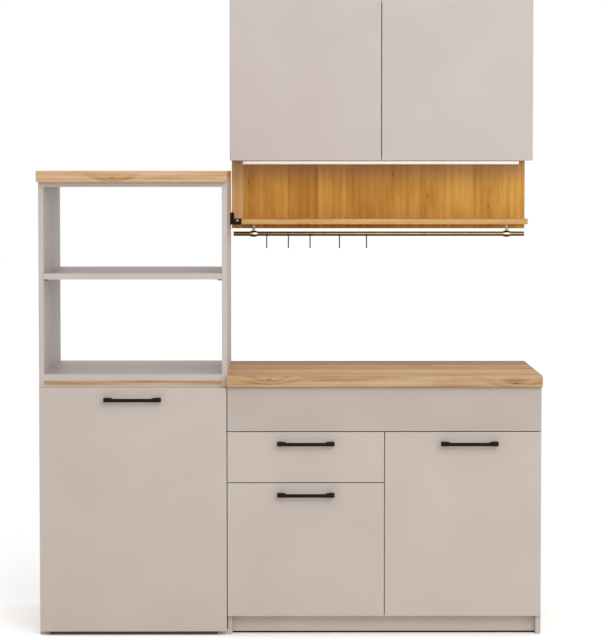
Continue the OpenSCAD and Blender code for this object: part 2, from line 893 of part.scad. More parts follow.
module ledge_shelf() {
    color(oak) eased_top(wall_x, ledge_y, ledge_z, wall_w, ledge_d, ledge_t);
}

// The channel that holds the light strip, screwed under the wall cabinet and open below
module light_channel() {
    end_gap = light_w / 2;
    color(steel) translate([light_x + end_gap, light_y + (light_w - channel_w) / 2, wall_low])
        mirror([0, 0, 1]) difference() {
            cube([light_l - 2 * end_gap, channel_w, channel_h]);
            translate([-1, light_wall, light_wall])
                cube([light_l, channel_w - 2 * light_wall, channel_h]);
        }
}

// The opal cover round the channel, with rounded lower edges and round ends
module light_diffuser() {
    end_r = light_w / 2;
    color(light_white) translate([light_x, light_y + end_r, wall_low - light_h]) difference() {
        intersection() {
            rotate([90, 0, 90]) linear_extrude(light_l) cover_profile();
            translate([light_l / 2, 0, 0]) linear_extrude(light_h) rotate(90)
                round_bar(light_w, light_l);
        }
        translate([end_r - channel_fit, -channel_w / 2 - channel_fit, light_h - channel_h - channel_fit])
            cube([light_l - 2 * end_r + 2 * channel_fit, channel_w + 2 * channel_fit,
                  channel_h + channel_fit + 1]);
    }
}

// The cover's section: flat on top, round below
module cover_profile() {
    low_w = light_w - 2 * cover_round;
    translate([-light_w / 2, cover_round]) square([light_w, light_h - cover_round]);
    translate([-low_w / 2, 0]) square([low_w, cover_round + 1]);
    for (x = [-low_w / 2, low_w / 2]) translate([x, cover_round]) circle(r = cover_round);
}

module hook_rail() {
    color(bronze) translate([rail_x, rail_y, rail_z]) rotate([0, 90, 0]) difference() {
        cylinder(r = rail_r, h = rail_l);
        translate([0, 0, rail_cap]) cylinder(r = rail_r - rail_wall, h = rail_l - 2 * rail_cap);
    }
}

// Each holder: a stem under the ledge and a barrel-shaped ring round the rail
module rail_holders() {
    bore_r = rail_r + ring_fit;
    stem_z = rail_r + ring_t - ring_lip;
    color(bronze) for (x = holder_xs) translate([x, rail_y, rail_z]) {
        rotate([0, 90, 0]) rotate_extrude() polygon([
            [bore_r, -ring_w / 2], [bore_r + ring_lip, -ring_w / 2], [bore_r + ring_t, -ring_flat],
            [bore_r + ring_t, ring_flat], [bore_r + ring_lip, ring_w / 2], [bore_r, ring_w / 2]
        ]);
        translate([0, 0, stem_z]) cylinder(d = stem_d, h = ledge_z - rail_z - stem_z);
        translate([0, 0, ledge_z - rail_z - stem_foot_t]) cylinder(d = stem_foot_d, h = stem_foot_t);
    }
}

// One wire hook over the rail at x: a half turn over the tube, a stem and a half turn below
module wire_hook(x) {
    bend_r = hook_bend_r + wire_d / 2;
    top = crook_r + wire_d / 2;
    low = top - hook_h + wire_d / 2 + bend_r;
    color(bronze) translate([x, rail_y, rail_z]) {
        rotate([90, 0, 90]) rotate_extrude(angle = 180) translate([crook_r, 0]) circle(d = wire_d);
        translate([0, crook_r, -crook_tail]) cylinder(d = wire_d, h = crook_tail);
        translate([0, -crook_r, low]) cylinder(d = wire_d, h = -low);
        translate([0, -crook_r - bend_r, low]) rotate([90, 0, 90]) mirror([0, 1, 0])
            rotate_extrude(angle = 180) translate([bend_r, 0]) circle(d = wire_d);
        translate([0, -crook_r - 2 * bend_r, low]) cylinder(d = wire_d, h = bend_tip);
    }
}

// A dark bracket: an upright plate on the tall cabinet's side and an arm along the ledge's edge
module joining_bracket() {
    arm_h = ledge_t + 2 * bracket_edge;
    slot_h = arm_h / 2 - 2 * bracket_edge;
    color(dark_metal) translate([joint_x, ledge_y, ledge_z - bracket_edge]) rotate([90, 0, 0])
        linear_extrude(bracket_t) difference() {
            union() {
                square([bracket_w, bracket_h - bracket_w / 2]);
                translate([bracket_w / 2, bracket_h - bracket_w / 2]) circle(d = bracket_w);
                square([bracket_reach, arm_h]);
            }
            translate([bracket_reach - 2 * slot_l / 3 - slot_l, arm_h / 2]) square([slot_l, slot_h]);
        }
}

tall_left_side();
tall_right_side();
tall_top_board();
tall_top_panel();
tall_open_shelf();
tall_open_floor();
tall_trim_board();
tall_bottom();
tall_inner_shelf();
tall_feet();
tall_door();
tall_handle();
tall_hinge_cups();
worktop();
base_left_side();
base_right_side();
base_divider();
base_bottom();
base_rails();
base_fascia();
base_plinth();
base_shelves();
drawer_front();
drawer_box();
drawer_bottom();
drawer_handle();
drawer_runners();
cabinet_runners();
left_door();
left_handle();
left_hinge_cups();
right_door();
right_handle();
right_hinge_cups();
wall_left_side();
wall_right_side();
wall_top();
wall_bottom();
wall_shelf();
wall_left_door();
wall_left_hinge_cups();
wall_right_door();
wall_right_hinge_cups();
wall_hangers();
wall_rail();
back_boards();
hinge_arms();
shelf_pins();
panel_board();
ledge_shelf();
light_channel();
light_diffuser();
hook_rail();
rail_holders();
wire_hook(hook_xs[0]);  // hook_1
wire_hook(hook_xs[1]);  // hook_2
wire_hook(hook_xs[2]);  // hook_3
wire_hook(hook_xs[3]);  // hook_4
wire_hook(hook_xs[4]);  // hook_5
joining_bracket();
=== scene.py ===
# %% [markdown]
# # A kitchenette set, dressed in Blender
# The set is a tall cabinet, a base cabinet with a worktop, and a wall cabinet over an oak
# panel with a ledge, a light and a hook rail. Its boards, hinges and joints come from the
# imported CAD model, which is a fixed frame here. Blender adds the finishes, the small
# fittings that CAD leaves plain, the light and the camera. All sizes are in metres.

# %% Load the fixed frame
import json
import math

import bmesh
import bpy
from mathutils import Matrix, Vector

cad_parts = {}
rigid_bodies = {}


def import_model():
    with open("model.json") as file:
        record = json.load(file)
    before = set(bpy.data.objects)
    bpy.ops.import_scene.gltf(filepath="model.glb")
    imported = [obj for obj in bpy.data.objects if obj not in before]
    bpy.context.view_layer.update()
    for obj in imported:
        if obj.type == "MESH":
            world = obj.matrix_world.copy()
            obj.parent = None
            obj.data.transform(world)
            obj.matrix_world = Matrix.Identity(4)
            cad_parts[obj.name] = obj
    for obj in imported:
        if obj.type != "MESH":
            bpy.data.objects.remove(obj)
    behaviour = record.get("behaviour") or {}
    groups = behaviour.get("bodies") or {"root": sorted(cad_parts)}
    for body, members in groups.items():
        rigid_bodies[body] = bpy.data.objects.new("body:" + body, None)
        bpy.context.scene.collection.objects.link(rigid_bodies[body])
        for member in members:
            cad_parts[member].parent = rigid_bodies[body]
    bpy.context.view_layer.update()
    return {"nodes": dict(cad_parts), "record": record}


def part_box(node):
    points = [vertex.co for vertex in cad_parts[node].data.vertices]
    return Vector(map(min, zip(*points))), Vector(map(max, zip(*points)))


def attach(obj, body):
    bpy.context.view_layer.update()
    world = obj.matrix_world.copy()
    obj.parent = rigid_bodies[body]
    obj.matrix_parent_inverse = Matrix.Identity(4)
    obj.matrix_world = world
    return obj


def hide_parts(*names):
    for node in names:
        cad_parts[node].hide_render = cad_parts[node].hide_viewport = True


for stray in list(bpy.data.objects):
    bpy.data.objects.remove(stray)
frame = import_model()
nodes = frame["nodes"]
MM = 0.001

# %% [markdown]
# ## The camera
# The photograph is taken from straight in front with a long lens, at eye height, and its
# upright lines stay upright. A view camera does that with a sideways shift of the lens.
# A large shift would push the set out of every other view, so most of it is given by a
# tilt of under three degrees here, which moves no edge by more than two pixels.

# %% Place the camera
CAMERA_AT = (-0.003, -7.794, 1.482)
CAMERA_TILT, CAMERA_TURN = math.radians(2.74), math.radians(0.298)
lens = bpy.data.cameras.new("long_lens")
lens.sensor_fit, lens.sensor_width, lens.lens = "HORIZONTAL", 36.0, 140.94
lens.shift_x, lens.shift_y = 0.0043, -0.06
camera = bpy.data.objects.new("camera", lens)
camera.location = CAMERA_AT
camera.rotation_euler = (math.radians(90) - CAMERA_TILT, 0, -CAMERA_TURN)
bpy.context.scene.collection.objects.link(camera)
bpy.context.scene.camera = camera
print("camera at", CAMERA_AT, "lens", lens.lens, "mm")

# %% [markdown]
# ## Helpers for every finish
# Colours are written as sRGB hex values, as on a screen, and shaders count in linear
# light, so one function turns the first into the second. A second one adds a node, sets
# what is plain and links what is a socket. Short names for the nodes that come up again
# and again, such as a noise or a ramp, keep each finish short to read.

# %% Colour and node helpers
def srgb(code):
    """The linear colour of an sRGB hex value such as #c8bcb2."""
    parts = [int(code[i:i + 2], 16) / 255 for i in (1, 3, 5)]
    return (*(p / 12.92 if p <= 0.04045 else ((p + 0.055) / 1.055) ** 2.4 for p in parts), 1.0)


def add_node(finish, kind, inputs=None, **settings):
    """One shader node, whose inputs are plain values to set or sockets to link."""
    made = finish.node_tree.nodes.new("ShaderNode" + kind)
    for name, value in settings.items():
        setattr(made, name, value)
    for name, value in (inputs or {}).items():
        if isinstance(value, bpy.types.NodeSocket):
            finish.node_tree.links.new(value, made.inputs[name])
        else:
            made.inputs[name].default_value = value
    return made


def new_finish(name, **sockets):
    """A finish with its shader, whose plain values are set on the shader's own sockets."""
    finish = bpy.data.materials.new(name)
    finish.use_nodes = True
    shader = finish.node_tree.nodes["Principled BSDF"]
    for socket, value in sockets.items():
        shader.inputs[socket.replace("_", " ")].default_value = value
    return finish, shader


def connect(finish, shader, **sockets):
    """Links outputs to the shader's sockets, whose names are written with underscores."""
    for socket, output in sockets.items():
        finish.node_tree.links.new(output, shader.inputs[socket.replace("_", " ")])


print("mid grey in linear light:", srgb("#808080")[0])

# %% Short names for common nodes
def math_node(finish, operation, first, second=0.0):
    """One calculation with one or two values."""
    return add_node(finish, "Math", {0: first, 1: second}, operation=operation).outputs[0]


def weighted(finish, *parts):
    """The sum of values, each times its weight."""
    total = 0.0
    for value, weight in parts:
        total = math_node(finish, "ADD", total, math_node(finish, "MULTIPLY", value, weight))
    return total


def remap(finish, value, source=(0.0, 1.0), target=(0.0, 1.0), **settings):
    """Turns the source range into the target range and holds a value inside it."""
    return add_node(finish, "MapRange", {0: value, 1: source[0], 2: source[1],
                                         3: target[0], 4: target[1]}, **settings).outputs[0]


def blend(finish, share, under, over, kind="MIX"):
    """Lays one colour over another by a share from 0 to 1."""
    return add_node(finish, "Mix", {0: share, 6: under, 7: over}, data_type="RGBA",
                    blend_type=kind).outputs[2]


def ramp(finish, value, stops, interpolation="LINEAR"):
    """Turns a value into colours by stops, each a place from 0 to 1 and a hex value."""
    made = add_node(finish, "ValToRGB", {0: value})
    made.color_ramp.interpolation = interpolation
    for number, (place, code) in enumerate(stops):
        elements = made.color_ramp.elements
        element = elements.new(place) if number else elements[0]
        element.position, element.color = place, srgb(code)
    made.color_ramp.elements.remove(made.color_ramp.elements[-1])
    return made.outputs[0]


def bumps(finish, height, strength, depth):
    """A surface that rises with a value, by a depth in metres."""
    return add_node(finish, "Bump", {"Strength": strength, "Distance": depth,
                                     "Height": height}).outputs[0]


def noise(finish, size, **settings):
    """Noise that is fixed to the model, with marks of about this size in metres."""
    place = add_node(finish, "TexCoord").outputs["Object"]
    return add_node(finish, "TexNoise", {"Vector": place, "Scale": 1 / size,
                                         **settings}).outputs[0]


def facing(finish, axis):
    """How far a face looks along an axis (0, 1 or 2), from -1 to 1."""
    normal = add_node(finish, "NewGeometry").outputs["Normal"]
    return add_node(finish, "SeparateXYZ", {0: normal}).outputs[axis]


print("short names ready")

# %% [markdown]
# ## The grey-beige boards
# The fronts and boards are chipboard faced with melamine paper, pressed against a fine
# matt plate. The eye sees an even cashmere tone, a soft sheen and, close up, a pore-like
# grain. The colour could be one flat value, but real sheets vary a little from area to
# area, so a slow noise moves it by a few percent. The eased edges are painted lighter, a
# painted highlight where they catch the light, found by the face's own slanted normal.
# Copies of the sheet differ from the doors' one: one is darker, painted shade, one is
# lighter, painted light, and one is cooler.

# %% Melamine finish
PORE_SIZE, CLOUD_SIZE = 1.4 * MM, 260 * MM  # a real pore is 0.3 mm, drawn larger to show
STRAIGHT = 0.9  # a face that looks less than this along every axis is an eased edge


def melamine(name, body_hex, cloud_hex, edge_highlight_hex):
    """A sheet by its two tones, which drift into each other, and the painted highlight on its
    eased edges.
    """
    finish, shader = new_finish(name, Roughness=0.46, IOR=1.5)
    cloud = noise(finish, CLOUD_SIZE, Detail=2.0)
    tone = ramp(finish, cloud, [(0.35, cloud_hex), (0.65, body_hex)])
    most = 0.0
    for axis in range(3):
        looks = math_node(finish, "ABSOLUTE", facing(finish, axis))
        most = math_node(finish, "MAXIMUM", most, looks)
    eased = math_node(finish, "LESS_THAN", most, STRAIGHT)
    pores = noise(finish, PORE_SIZE, Detail=3.0, Roughness=0.6)
    # the eased edges take a painted highlight, lighter where they catch the light
    connect(finish, shader, Base_Color=blend(finish, eased, tone, srgb(edge_highlight_hex)),
            Roughness=remap(finish, pores, target=(0.42, 0.52)),
            Normal=bumps(finish, pores, 0.25, 0.03 * MM))
    return finish


beige_melamine = melamine("cashmere_melamine", "#cabdb3", "#c6b9ae", "#ddd5ce")
# a darker copy is painted shade on the fascia, a lighter one painted light on the plinth
fascia_shade_melamine = melamine("cashmere_melamine_fascia_painted_shade", "#c0b4aa", "#bcafa5", "#d6cdc6")
plinth_light_melamine = melamine("cashmere_melamine_plinth_painted_light", "#d1c5bb", "#cdc1b6", "#ddd5ce")
cooler_melamine = melamine("cashmere_melamine_cooler", "#cabeb8", "#c6bab3", "#ddd6d1")
print("melamine:", len(beige_melamine.node_tree.nodes), "nodes")

# %% [markdown]
# ## The oak decors
# Worktop, top board and trim strip are chipboard under a printed and pressed oak decor:
# staves of mixed width that run along the board, each with its own tone, fine growth lines,
# short dark pores and a few small knots. The panel and the ledge have a warmer oak with
# wider planks, upright on the panel. Real timber could be copied with an image, but the
# grain has to wrap over the front edge as the pressed sheet does, so it is built from noise
# on one long and one cross direction. The cross direction runs over the edge: on a worktop
# it is depth plus height. Where each plank starts and which tone it has is a short table.
# A board's end carries an edge band, whose grain runs along the edge.

# %% Where the grain runs
END_FACING = 0.75  # a face that looks sideways more than this is a board's end


def stretched(finish, place, factors):
    """A place with each direction times a factor: a small factor makes long marks."""
    return add_node(finish, "VectorMath", {0: place, 1: factors},
                    operation="MULTIPLY").outputs[0]


def grain_directions(finish, upright, front):
    """Height, and the long and the cross direction of a board or of the band on its end."""
    place = add_node(finish, "TexCoord").outputs["Object"]
    x, y, z = add_node(finish, "SeparateXYZ", {0: place}).outputs
    along, across = (z, x) if upright else (x, math_node(finish, "ADD", y, z))
    band_along, band_across = (z, y) if upright else (y, z)
    band_across = math_node(finish, "ADD", band_across, front * MM)
    sideways = math_node(finish, "ABSOLUTE", facing(finish, 0))
    end = math_node(finish, "GREATER_THAN", sideways, END_FACING)
    along = add_node(finish, "Mix", {0: end, 2: along, 3: band_along}).outputs[0]
    across = add_node(finish, "Mix", {0: end, 2: across, 3: band_across}).outputs[0]
    return z, along, across


print("a board's end looks sideways by more than", END_FACING)

# %% Planks and knots
LAST_PLANK = 100 * MM  # the width that the last plank is given
KNOT_STRETCH = 0.28  # a knot is drawn out along the grain
HEART_CORE, HEART_R, RING_R = 1 * MM, 4 * MM, 34 * MM


def plank_tones(finish, across, planks):
    """The tone of the plank at a place, with a hard joint where the next plank starts."""
    starts = [start * MM for start, _ in planks]
    first, span = starts[0], starts[-1] - starts[0] + LAST_PLANK
    spot = remap(finish, across, (first, first + span))
    stops = [((start - first) / span, tone) for start, (_, tone) in zip(starts, planks)]
    return ramp(finish, spot, stops, "CONSTANT")


def knot_shares(finish, along, across, knots):
    """The dark heart of a knot, and the wide ring in which the lines bend round it."""
    flat = add_node(finish, "CombineXYZ", {0: along, 1: across}).outputs[0]
    flat = stretched(finish, flat, (KNOT_STRETCH, 1, 1))
    nearest = 1.0
    for knot_along, knot_across in knots:
        middle = (KNOT_STRETCH * knot_along * MM, knot_across * MM, 0)
        away = add_node(finish, "VectorMath", {0: flat, 1: middle}, operation="DISTANCE")
        nearest = math_node(finish, "MINIMUM", nearest, away.outputs["Value"])
    soft = {"interpolation_type": "SMOOTHSTEP"}
    heart = remap(finish, nearest, (HEART_CORE, HEART_R), (0.5, 0.0), **soft)
    ring = remap(finish, nearest, (0.0, RING_R), (1.0, 0.0), **soft)
    return heart, ring


print("a knot's ring reaches", RING_R / MM, "mm across the grain")

# %% Streaks, patches, pores and growth lines
LINE_PITCH, PORE_LENGTH, PORE_WIDTH = 5 * MM, 45 * MM, 1.3 * MM  # pores are drawn 3 times wide
LINE_WANDER, KNOT_BEND = 9, 7  # how many pitches noise and knots move a line
LINE_TURN = 1.3  # how far the sine wave of the lines turns in one pitch, in radians


def wood_noise(finish, grain, factors, **settings):
    """Noise in the grain's own directions."""
    return add_node(finish, "TexNoise", {"Vector": stretched(finish, grain, factors),
                                         "Scale": 1.0, **settings}).outputs[0]


def wood_marks(finish, grain, across, ring, streaks_each_metre):
    """The strength of streaks, dull patches, pores and growth lines at a place."""
    wander = wood_noise(finish, grain, (2.0, 9.0, 1.0), Detail=3.0)
    streak = wood_noise(finish, grain, (1.6, streaks_each_metre, 1.0), Detail=5.0,
                        Roughness=0.62)
    patch = wood_noise(finish, grain, (5.0, 16.0, 1.0), Detail=2.0)
    pores = wood_noise(finish, grain, (1 / PORE_LENGTH, 1 / PORE_WIDTH, 1.0), Detail=1.0)
    turns = weighted(finish, (across, 1 / LINE_PITCH), (wander, LINE_WANDER), (ring, KNOT_BEND))
    lines = math_node(finish, "SINE", math_node(finish, "MULTIPLY", turns, LINE_TURN))
    return streak, patch, remap(finish, pores, (0.6, 0.72)), lines


print("growth lines about every", round(math.tau / LINE_TURN * LINE_PITCH / MM), "mm")

# %% Oak finish
PLANK_SHIFT = 9  # how far apart, in metres, the planks' grains lie in the noise


def oak_decor(name, upright, planks, knots, front=0, painted_shade=None, streaks=(55, "#e0cfbd", 0.75)):
    """Oak from planks (start across in mm, tone) and knots (along, across in mm).

    Streaks are given by how many there are in a metre, their tone and where plain wood begins.
    Painted shade is given by the heights where it starts and is full, how strong it is and its
    tone.
    """
    finish, shader = new_finish(name, Roughness=0.5, IOR=1.5, Specular_IOR_Level=0.06)
    z, along, across = grain_directions(finish, upright, front)
    plank = plank_tones(finish, across, planks)
    heart, ring = knot_shares(finish, along, across, knots)
    seed = add_node(finish, "TexWhiteNoise", {"Vector": plank}).outputs[0]
    shift = math_node(finish, "MULTIPLY", seed, PLANK_SHIFT)
    grain = add_node(finish, "CombineXYZ", {0: along, 1: across, 2: shift}).outputs[0]

    streaks_each_metre, streak_tone, plain_from = streaks
    streak, patch, pore, lines = wood_marks(finish, grain, across, ring, streaks_each_metre)

    level = weighted(finish, (streak, 1.1), (lines, 0.06), (ring, -0.12))
    shade = ramp(finish, level, [(0.3, streak_tone), (0.5, "#efe6dd"), (plain_from, "#ffffff")])
    timber = blend(finish, 1.0, plank, shade, "MULTIPLY")
    dull = remap(finish, patch, (0.48, 0.7), (0.0, 0.45))
    timber = blend(finish, dull, timber, blend(finish, 1.0, timber, srgb("#dccba6"), "MULTIPLY"))
    timber = blend(finish, math_node(finish, "MULTIPLY", pore, 0.22), timber, srgb("#6f4a2a"))
    # the panel's top goes darker and greyer towards the wall cabinet: painted shade under it
    if painted_shade:
        low, high, share, tone = painted_shade
        near = remap(finish, z, (low * MM, high * MM), (0.0, share))
        timber = blend(finish, near, timber, srgb(tone))
    timber = blend(finish, heart, timber, srgb("#5a3a20"))
    relief = weighted(finish, (lines, 0.2), (pore, -1.0))
    connect(finish, shader, Base_Color=timber, Roughness=remap(finish, pore, target=(0.52, 0.66)),
            Normal=bumps(finish, relief, 0.3, 0.08 * MM))
    return finish


print("the planks' grains lie up to", PLANK_SHIFT, "m apart in the noise")

# %% The three oaks
# the stave from 537 mm across is paler: it runs along the worktop top's front edge, partly a
# painted highlight there
WORKTOP_STAVES = [(400, "#ceae8b"), (537, "#d2b896"), (578, "#d4ab7a"), (641, "#e4c090"),
                  (766, "#d7ad78"), (806, "#cfa56e"), (886, "#d6ad7f"), (971, "#bc9268"),
                  (1096, "#8f7d58"), (1142, "#dfbd98"), (1210, "#cba680"), (1330, "#d9b590"),
                  (1480, "#c49e78"), (1600, "#d4b08a")]
# the panel's planks are a saturated gold: partly the oak's own warm tone, partly painted warm
# light from the lamp above it
PANEL_PLANKS = [(-200, "#f8d096"), (-158, "#e9b15b"), (-8, "#d8a04c"), (94, "#e8b35d"),
                (190, "#daa251"), (318, "#e3ad58"), (446, "#e5ae5a"), (530, "#efbc64"),
                (620, "#e4ae58"), (712, "#ebb75f")]
LEDGE_PLANKS = [(1400, "#e2bd82"), (1486, "#e6c188"), (1545, "#d8ae75")]
worktop_oak = oak_decor("light_oak_laminate", False, WORKTOP_STAVES,
                        [(-66, 526), (713, 512), (120, 700), (430, 930), (-560, 1160)],
                        front=-294, streaks=(80, "#c8ab88", 0.68))
panel_oak = oak_decor("warm_oak_upright_painted_light", True, PANEL_PLANKS,
                      [(1467, 350), (1391, 466), (1356, 674), (1440, -140)],
                      front=400, painted_shade=(1436, 1512, 0.6, "#a08676"))
ledge_oak = oak_decor("warm_oak_lengthwise", False, LEDGE_PLANKS, [(310, 1540)], front=180)
print("oak decors:", worktop_oak.name, panel_oak.name, ledge_oak.name)

# %% [markdown]
# ## Metals, plastics and the hidden boards
# Handles and bracket are die-cast and powder coated in a brown-black: a fine, dry
# texture that hardly shines. Rail, holders and hooks are steel tube and wire with a
# polished dark bronze plating, so they are true metals with a dark colour. The rail's and
# the holders' tone follows how far a face looks up or down: a painted reflection, light
# where a face looks forward and dark on top and below, brighter on the holders. Hinges and
# pins are nickel plated, runners are epoxy coated, a grey strip on the floor is painted
# shade, and the backs are hardboard, lacquered white inside and raw and brown behind. The
# light's opal cover glows strongly below and towards the panel and softly in front, and
# its rim in the channel stays unlit.

# %% Powder coat, plating and plastics
def speckled(name, light_hex, dark_hex, grain, bump_depth, rough, **sockets):
    """A finish whose colour, gloss and surface all follow one fine grain."""
    finish, shader = new_finish(name, **sockets)
    speckle = noise(finish, grain, Detail=3.0)
    connect(finish, shader, Base_Color=ramp(finish, speckle, [(0.3, dark_hex), (0.7, light_hex)]),
            Roughness=remap(finish, speckle, target=rough),
            Normal=bumps(finish, speckle, 0.4, bump_depth))
    return finish


powder_coat = speckled("brown_black_powder_coat", "#271a12", "#1b120c", 0.9 * MM, 0.05 * MM,
                       (0.42, 0.58), IOR=1.5, Specular_IOR_Level=0.1)
dark_bronze = speckled("polished_dark_bronze", "#4f3f22", "#46371d", 6 * MM, 0.005 * MM,
                       (0.2, 0.28), Metallic=1.0)
nickel = speckled("nickel_plated_steel", "#c9c8c4", "#b9b8b4", 3 * MM, 0.01 * MM,
                  (0.26, 0.36), Metallic=1.0)
runner_coat = speckled("white_epoxy_coat", "#e6e5e0", "#dcdbd6", 1.2 * MM, 0.03 * MM,
                       (0.35, 0.45), IOR=1.5)
white_plastic = speckled("white_moulded_plastic", "#e4e3de", "#dbdad5", 0.8 * MM, 0.02 * MM,
                         (0.45, 0.55), IOR=1.46)
foot_plastic = speckled("beige_moulded_foot", "#b3a79c", "#a4988d", 0.8 * MM, 0.03 * MM,
                        (0.5, 0.62), IOR=1.46)
# grey for a strip put under the tall cabinet where there is only shade: painted shade
shadow_strip_grey = speckled("grey_strip_painted_shade", "#645e5a", "#58524e", 0.7 * MM, 0.02 * MM,
                       (0.6, 0.72), IOR=1.5, Specular_IOR_Level=0.2)
anodised = speckled("natural_anodised_aluminium", "#cfcfd0", "#c3c3c4", 0.5 * MM, 0.005 * MM,
                    (0.34, 0.42), Metallic=1.0)
lacquered_white = speckled("white_lacquered_board", "#e9e8e4", "#e2e1dc", 1.5 * MM, 0.02 * MM,
                           (0.38, 0.48), IOR=1.5)
print("metals and plastics:", powder_coat.name, dark_bronze.name, nickel.name)

# %% Bronze with a painted reflection
WEAR_SIZE = 60 * MM
REFLECTION_PLACES = (0.05, 0.25, 0.42, 0.52, 0.66, 0.74, 0.8)  # from looking down to looking up


def bronze_with_painted_reflection(name, tones, patchy):
    """Bronze with a painted reflection, light where a face looks forward and dark where it looks
    up or down, and soft patches of dark patina.
    """
    finish, shader = new_finish(name, Metallic=1.0)
    # how far a face looks up or down sets a painted reflection
    turned = remap(finish, facing(finish, 2), (-1.0, 1.0))
    tone = ramp(finish, turned, zip(REFLECTION_PLACES, tones))
    mottle = noise(finish, WEAR_SIZE, Detail=3.0)
    patina = remap(finish, mottle, (0.35, 0.65), (patchy, 0.0))
    connect(finish, shader, Base_Color=blend(finish, patina, tone, srgb("#4a3616")),
            Roughness=remap(finish, mottle, target=(0.22, 0.34)))
    return finish


rail_bronze = bronze_with_painted_reflection("bronze_tube_painted_reflection", ("#4a3412", "#705526", "#8f7446", "#ac8f5f",
                                                   "#b3956a", "#7a5d30", "#33200a"), 0.25)
holder_bronze = bronze_with_painted_reflection("bronze_holders_painted_reflection", ("#3a2a12", "#5a4624", "#bfae84", "#efe2bd",
                                                        "#efe2bd", "#b39c6c", "#4a3818"), 0.0)
print("painted_reflection:", rail_bronze.name, holder_bronze.name)

# %% Hardboard and the lit cover
FRONT_GLOW, PANEL_GLOW = 0.32, 2.3
COVER_RIM, RIM_BLUR = 3 * MM, 1.5 * MM


def hardboard():
    """White lacquer on the face that looks into the cabinet, raw brown fibre behind."""
    finish, shader = new_finish("white_faced_hardboard", Roughness=0.5, IOR=1.5)
    fibre = noise(finish, 2.5 * MM, Detail=6.0, Roughness=0.7)
    raw = ramp(finish, fibre, [(0.3, "#8a6a4c"), (0.55, "#a28263"), (0.75, "#b39575")])
    white = ramp(finish, fibre, [(0.3, "#e0dfda"), (0.7, "#e9e8e4")])
    behind = math_node(finish, "GREATER_THAN", facing(finish, 1), 0.5)
    connect(finish, shader, Base_Color=blend(finish, behind, white, raw),
            Normal=bumps(finish, fibre, 0.3, 0.1 * MM))
    return finish


def lit_cover(rim_z):
    """Opal plastic lit from inside: strong below and behind, soft in front, unlit at its rim."""
    finish, shader = new_finish("opal_polycarbonate_cover", Roughness=0.32, IOR=1.58)
    place = add_node(finish, "TexCoord").outputs["Object"]
    height = add_node(finish, "SeparateXYZ", {0: place}).outputs[2]
    rim_low = rim_z - COVER_RIM
    lit = remap(finish, height, (rim_low, rim_low + RIM_BLUR), (1.0, 0.0))
    connect(finish, shader,
            Base_Color=blend(finish, lit, srgb("#8f8984"), srgb("#fbf8f0")),
            Emission_Color=blend(finish, lit, srgb("#0a0908"), srgb("#fff3e6")),
            Emission_Strength=remap(finish, facing(finish, 1), (-0.2, -0.05),
                                    (FRONT_GLOW, PANEL_GLOW)))
    return finish


back_hardboard = hardboard()
opal_cover = lit_cover(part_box("light_diffuser")[1][2])
print("boards and cover:", back_hardboard.name, lacquered_white.name, opal_cover.name)

# %% [markdown]
# ## Dress the CAD nodes
# The boards already have the right shape, so they keep it and only change their finish.
# The record says which material slot each node takes, and one table turns slots into
# finishes. The ledge is the one oak board of its slot whose grain runs lengthwise. The
# fixed front under the worktop takes a slightly darker copy of the doors' sheet, painted
# shade under the worktop's overhang, and the plinth a lighter one, painted light in its
# shaded recess. The wall cabinet and the boards of the tall cabinet's open part take a
# touch cooler copy.

# %% Assign the finishes
FINISHES = {
    "beige_laminate": beige_melamine, "oak_laminate": worktop_oak, "oak_panel": panel_oak,
    "white_board": lacquered_white, "dark_metal": powder_coat, "steel": nickel,
    "runner_white": runner_coat, "white_plastic": white_plastic, "foot_plastic": foot_plastic,
    "channel_aluminium": anodised, "diffuser": opal_cover, "bronze": dark_bronze,
}


def dress(thing, finish):
    """Gives a piece or a CAD node one finish all over."""
    thing.data.materials.clear()
    thing.data.materials.append(finish)


for row in frame["record"]["subparts"]:
    dress(nodes[row["node"]], FINISHES[row["material_slot"]])
dress(nodes["ledge_shelf"], ledge_oak)
# painted shade on the fascia and painted light on the plinth, by darker and lighter copies
dress(nodes["base_fascia"], fascia_shade_melamine)
dress(nodes["base_plinth"], plinth_light_melamine)
for name in ("wall_left_door", "wall_right_door", "wall_left_side", "wall_right_side",
             "wall_top", "wall_bottom", "wall_shelf", "tall_left_side", "tall_right_side",
             "tall_top_panel", "tall_open_shelf", "tall_open_floor"):
    dress(nodes[name], cooler_melamine)
dress(nodes["back_boards"], back_hardboard)

# %% [markdown]
# ## Tools for modelling a piece
# Each new piece starts from one primitive at its size and place and is shaped in edit mode,
# as by hand. An operator acts on everything that is selected, so one helper clears the
# selection first, and another one picks vertices, edges or faces by their place, which
# stands in for clicking them. Sizes of pieces are written in millimetres from here on. The
# last tool hands a piece over: it says which body the piece rides with and which CAD nodes
# it stands for, and counts and prints its open edges.

# %% Begin, pick, push and cut
AS_MADE = (1000, 1000, 1000)  # the scale of a primitive that is made at its size in metres


def begin(add, at, scale=AS_MADE, **settings):
    """Adds one primitive, place and scale in millimetres, and opens it for editing."""
    bpy.ops.object.select_all(action="DESELECT")
    add(location=Vector(at) * MM, **settings)
    bpy.context.object.scale = [size * MM for size in scale]
    bpy.ops.object.transform_apply(location=True, rotation=True, scale=True)
    bpy.ops.object.mode_set(mode="EDIT")
    return bpy.context.object


def pick(kind, test):
    """Selects the verts, edges or faces that pass a test on their middle in millimetres."""
    bpy.ops.mesh.select_mode(type={"verts": "VERT", "edges": "EDGE", "faces": "FACE"}[kind])
    bpy.ops.mesh.select_all(action="DESELECT")
    shape = bmesh.from_edit_mesh(bpy.context.object.data)
    for part in getattr(shape, kind):
        ends = [part] if kind == "verts" else part.verts
        middle = sum((end.co for end in ends), Vector()) / len(ends)
        if test(middle / MM, part):
            part.select_set(True)
    shape.select_flush_mode()
    bmesh.update_edit_mesh(bpy.context.object.data)


